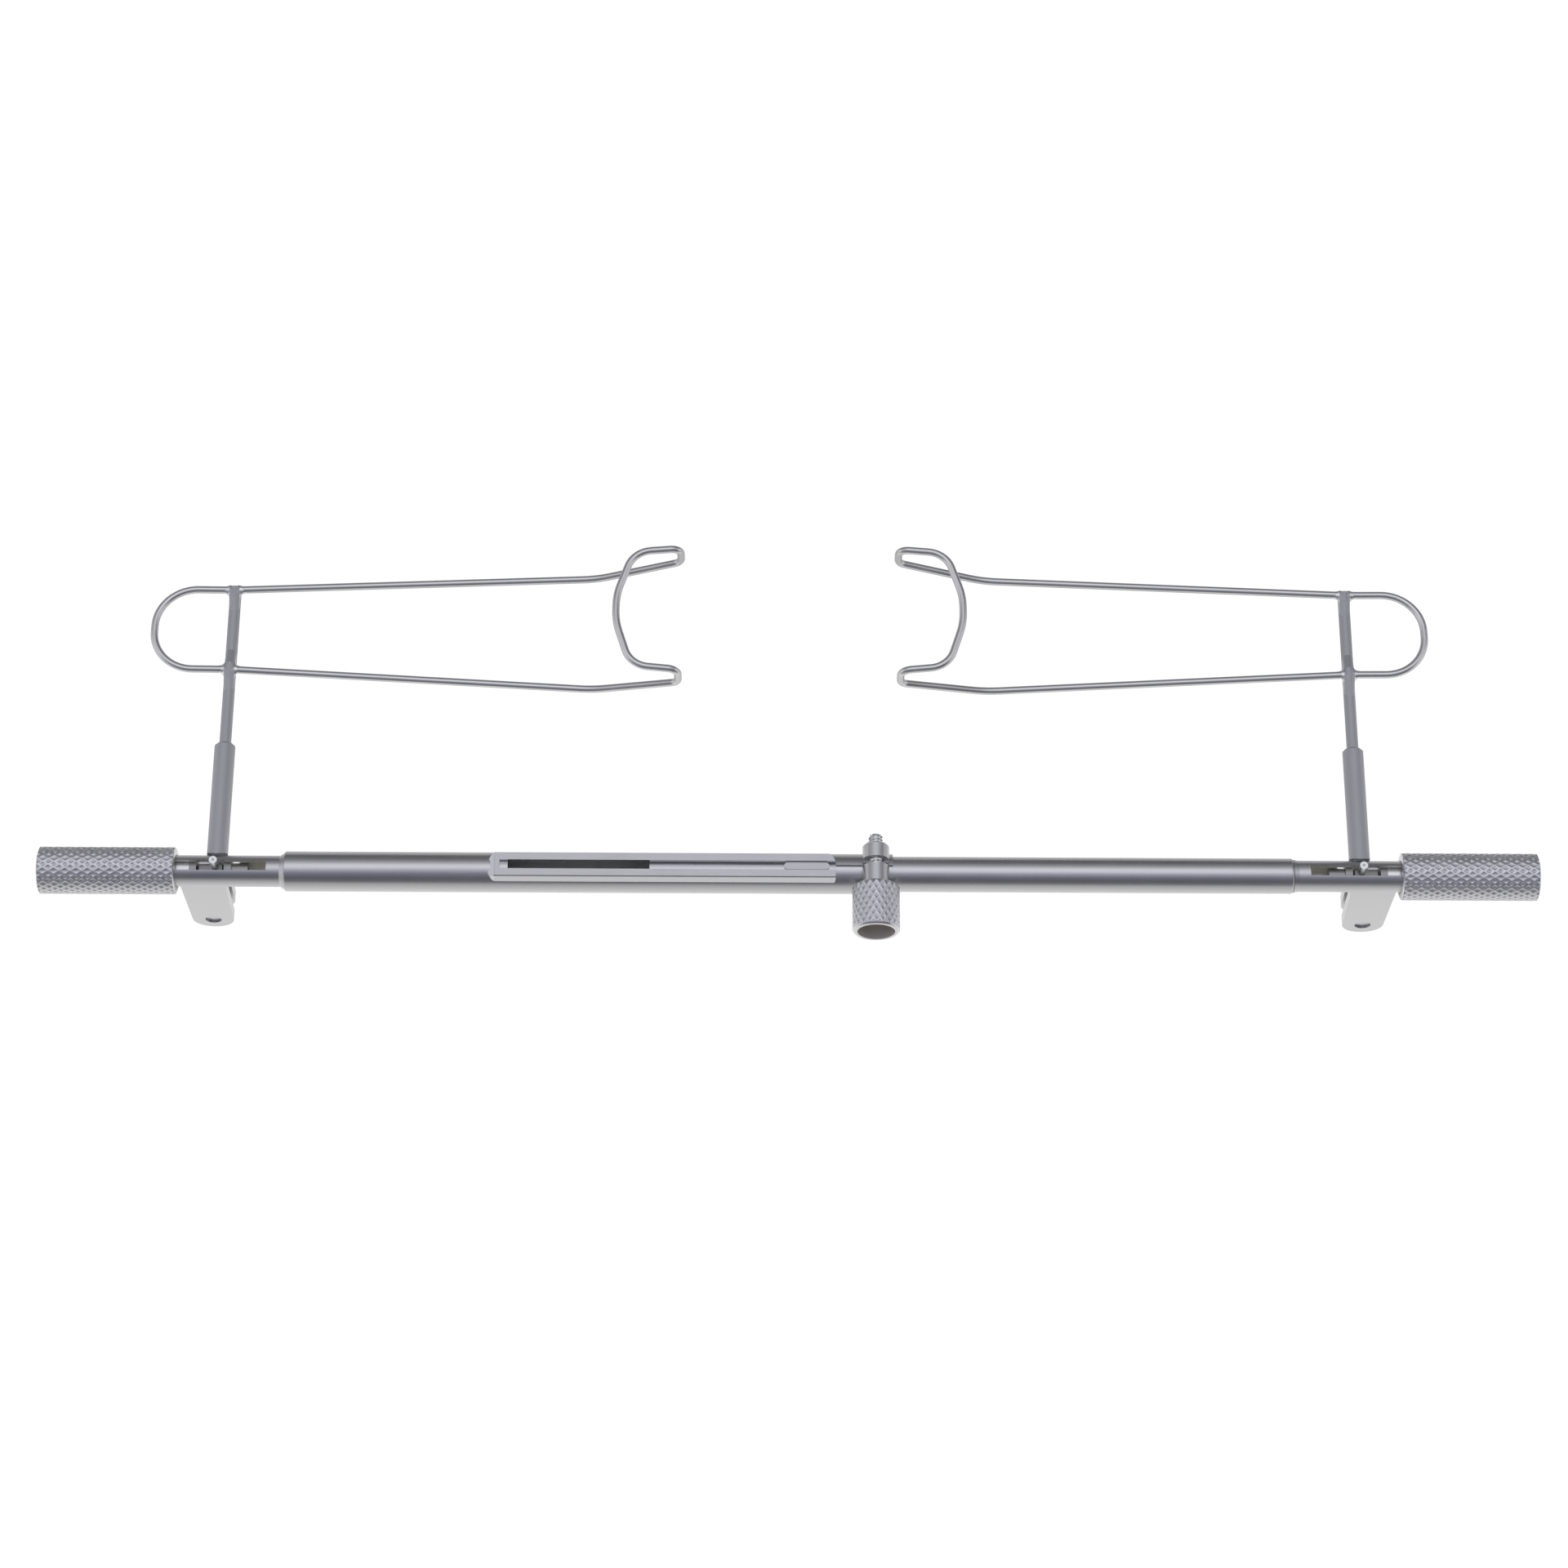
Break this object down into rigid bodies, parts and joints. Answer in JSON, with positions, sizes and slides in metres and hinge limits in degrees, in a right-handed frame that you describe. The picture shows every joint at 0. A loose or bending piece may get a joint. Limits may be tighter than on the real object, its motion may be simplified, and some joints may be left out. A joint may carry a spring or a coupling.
{
  "type": "eye speculum",
  "caption": "Adjustable wire eye speculum: telescoping bar with clamp screw, and hinged wire blades raised and lowered by knurled end knobs.",
  "frame": {"origin": "middle of the bar, on the bar's axis", "axes": "+X along the bar towards the sliding end, +Y from the bar towards the wire blades, +Z the side of the guide rail, on which the lid hooks rise; the hinge ears hang towards -Z"},
  "size_m": [0.1568, 0.0429, 0.0183],
  "materials": {
    "tube_steel": "satin ground along the bar",
    "housing_steel": "satin milled",
    "knurled_steel": "diamond knurled with satin ends",
    "wire_steel": "satin polished wire"
  },
  "bodies": {
    "barrel": {"barrel_tube": "tube_steel", "guide_rail": "tube_steel", "clamp_lug_front": "housing_steel", "clamp_lug_rear": "housing_steel", "left_housing": "housing_steel", "left_pivot_pin": "housing_steel", "left_retaining_ring": "housing_steel"},
    "slide": {"slide_tube": "tube_steel", "guide_key": "tube_steel", "right_housing": "housing_steel", "right_pivot_pin": "housing_steel", "right_retaining_ring": "housing_steel"},
    "left_arm": {"left_lever": "housing_steel", "left_lever_peg": "housing_steel", "left_stem": "wire_steel", "left_cross_rod": "wire_steel", "left_blade_wire": "wire_steel"},
    "right_arm": {"right_lever": "housing_steel", "right_lever_peg": "housing_steel", "right_stem": "wire_steel", "right_cross_rod": "wire_steel", "right_blade_wire": "wire_steel"},
    "left_draw": {"left_draw_rod": "housing_steel"},
    "right_draw": {"right_draw_rod": "housing_steel"},
    "left_knob": {"left_elevation_knob": "knurled_steel"},
    "right_knob": {"right_elevation_knob": "knurled_steel"},
    "clamp_screw": {"clamp_stud": "housing_steel"},
    "thumb_knob": {"clamp_knob": "knurled_steel"}
  },
  "joints": [
    {"name": "spread_slide", "type": "slide", "parent": "barrel", "child": "slide", "axis": [-1, 0, 0], "range_m": [0, 0.018]},
    {"name": "left_draw_slide", "type": "slide", "parent": "barrel", "child": "left_draw", "axis": [-1, 0, 0], "range_m": [-0.00174, 0.00174]},
    {"name": "left_knob_spin", "type": "hinge", "parent": "barrel", "child": "left_knob", "pos_m": [-0.071, 0, 0], "axis": [1, 0, 0], "range_deg": [-1250, 1250]},
    {"name": "left_lever_hinge", "type": "hinge", "parent": "barrel", "child": "left_arm", "pos_m": [-0.0612, 0, -0.0091], "axis": [0, -1, 0], "range_deg": [-11, 11]},
    {"name": "right_draw_slide", "type": "slide", "parent": "slide", "child": "right_draw", "axis": [1, 0, 0], "range_m": [-0.00174, 0.00174]},
    {"name": "right_knob_spin", "type": "hinge", "parent": "slide", "child": "right_knob", "pos_m": [0.071, 0, 0], "axis": [-1, 0, 0], "range_deg": [-1250, 1250]},
    {"name": "right_lever_hinge", "type": "hinge", "parent": "slide", "child": "right_arm", "pos_m": [0.0612, 0, -0.0091], "axis": [0, 1, 0], "range_deg": [-11, 11]},
    {"name": "clamp_screw_slide", "type": "slide", "parent": "barrel", "child": "clamp_screw", "axis": [0, -1, 0], "range_m": [0, 0.0007]},
    {"name": "clamp_knob_spin", "type": "hinge", "parent": "clamp_screw", "child": "thumb_knob", "pos_m": [0.0091, -0.0052, 0.00272], "axis": [0, -1, 0], "range_deg": [0, 721]}
  ],
  "couplings": [
    {"joint": "left_knob_spin", "follows": "left_draw_slide", "rad_per_m": 12566},
    {"joint": "left_lever_hinge", "follows": "left_draw_slide", "rad_per_m": 110.62},
    {"joint": "right_knob_spin", "follows": "right_draw_slide", "rad_per_m": 12566},
    {"joint": "right_lever_hinge", "follows": "right_draw_slide", "rad_per_m": 110.62},
    {"joint": "clamp_knob_spin", "follows": "clamp_screw_slide", "rad_per_m": 17952}
  ]
}
